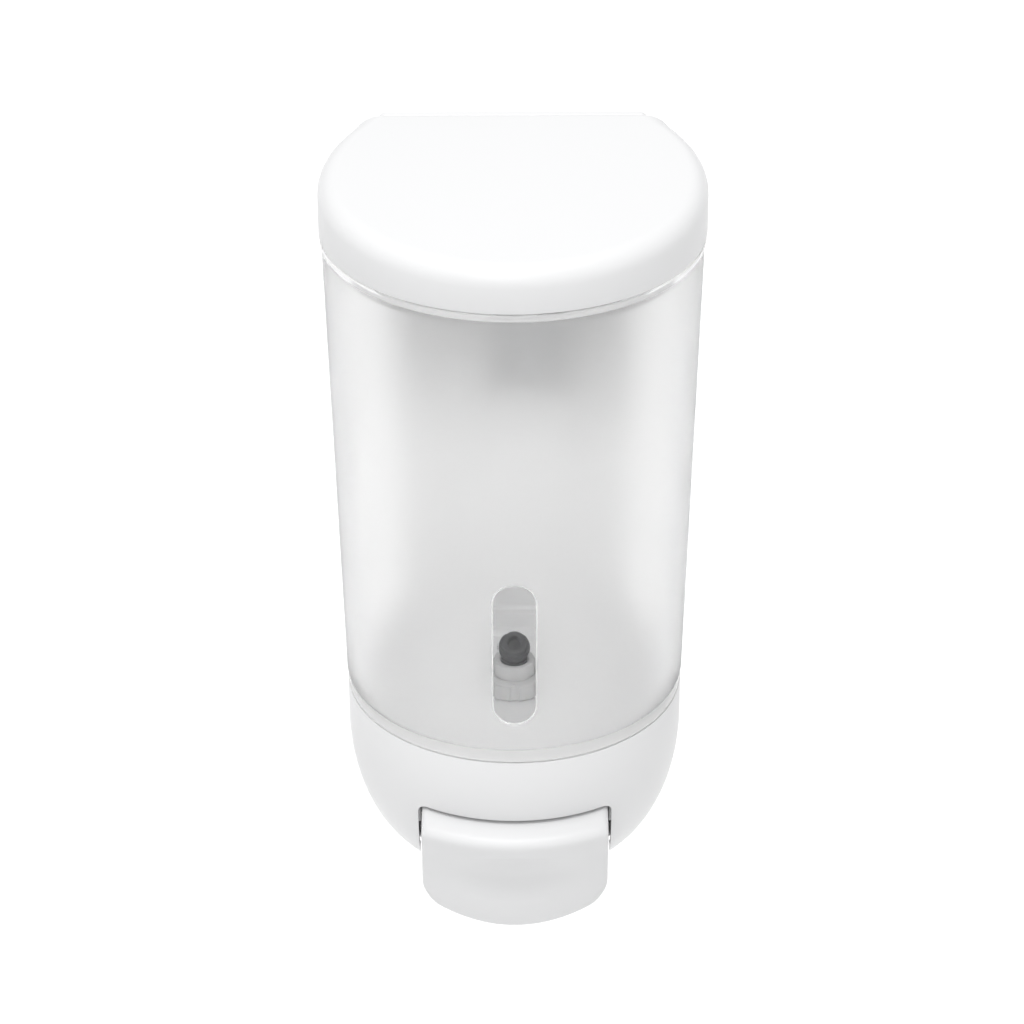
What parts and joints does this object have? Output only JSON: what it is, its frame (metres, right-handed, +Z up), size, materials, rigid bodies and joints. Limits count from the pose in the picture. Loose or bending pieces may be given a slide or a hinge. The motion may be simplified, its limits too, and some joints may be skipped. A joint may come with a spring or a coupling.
{
  "type": "wall mounted soap dispenser",
  "caption": "Wall mounted liquid soap dispenser: D-shaped frosted tank with sight window, hinged lid, bowl-shaped base, push button and spring pump.",
  "frame": {"origin": "middle of the wall plate's back face, on the wall", "axes": "+Z up, +X right, +Y into the wall; the dispenser faces -Y"},
  "size_m": [0.099, 0.0869, 0.2029],
  "materials": {
    "white_plastic": "smooth moulded satin gloss",
    "button_white": "smooth moulded satin gloss",
    "plate_white": "fine moulded grain",
    "frosted_plastic": "frosted, with polished window and bands",
    "clear_plastic": "polished clear",
    "grey_rubber": "soft matt",
    "steel": "plain drawn and pressed steel",
    "screw_steel": "zinc plated"
  },
  "bodies": {
    "wall_side": {"wall_plate": "plate_white", "hanger_hook": "steel", "hook_rivet_upper": "steel", "hook_rivet_lower": "steel"},
    "dispenser": {"tank": "frosted_plastic", "base_housing": "white_plastic", "base_cover": "white_plastic", "base_screw_left": "screw_steel", "base_screw_right": "screw_steel", "base_screw_rear": "screw_steel", "cover_screw_left": "screw_steel", "cover_screw_right": "screw_steel", "button_pin": "steel", "pump_body": "clear_plastic", "pump_nut": "clear_plastic", "pump_gasket": "grey_rubber", "inlet_valve": "grey_rubber", "pump_cap": "white_plastic", "return_spring": "steel"},
    "lid": {"lid": "white_plastic", "hinge_pin": "steel"},
    "button": {"button": "button_white"},
    "plunger": {"piston": "white_plastic", "piston_seal": "grey_rubber", "plunger_stem": "white_plastic", "nozzle": "white_plastic", "nozzle_valve": "grey_rubber"}
  },
  "joints": [
    {"name": "tank_lift", "type": "slide", "parent": "wall_side", "child": "dispenser", "axis": [0, 0, 1], "range_m": [0, 0.0255]},
    {"name": "lid_hinge", "type": "hinge", "parent": "dispenser", "child": "lid", "pos_m": [0, -0.0083, 0.0898], "axis": [-1, 0, 0], "range_deg": [0, 88]},
    {"name": "button_pivot", "type": "hinge", "parent": "dispenser", "child": "button", "pos_m": [0, -0.0655, -0.08], "axis": [1, 0, 0], "range_deg": [0, 12], "stiffness_Nm_per_rad": 0.3, "springref_deg": -8.59},
    {"name": "plunger_slide", "type": "slide", "parent": "dispenser", "child": "plunger", "axis": [0, 0, 1], "range_m": [0, 0.0064], "deforming": ["return_spring"]}
  ],
  "couplings": [
    {"joint": "plunger_slide", "follows": "button_pivot", "m_per_rad": 0.0304}
  ]
}
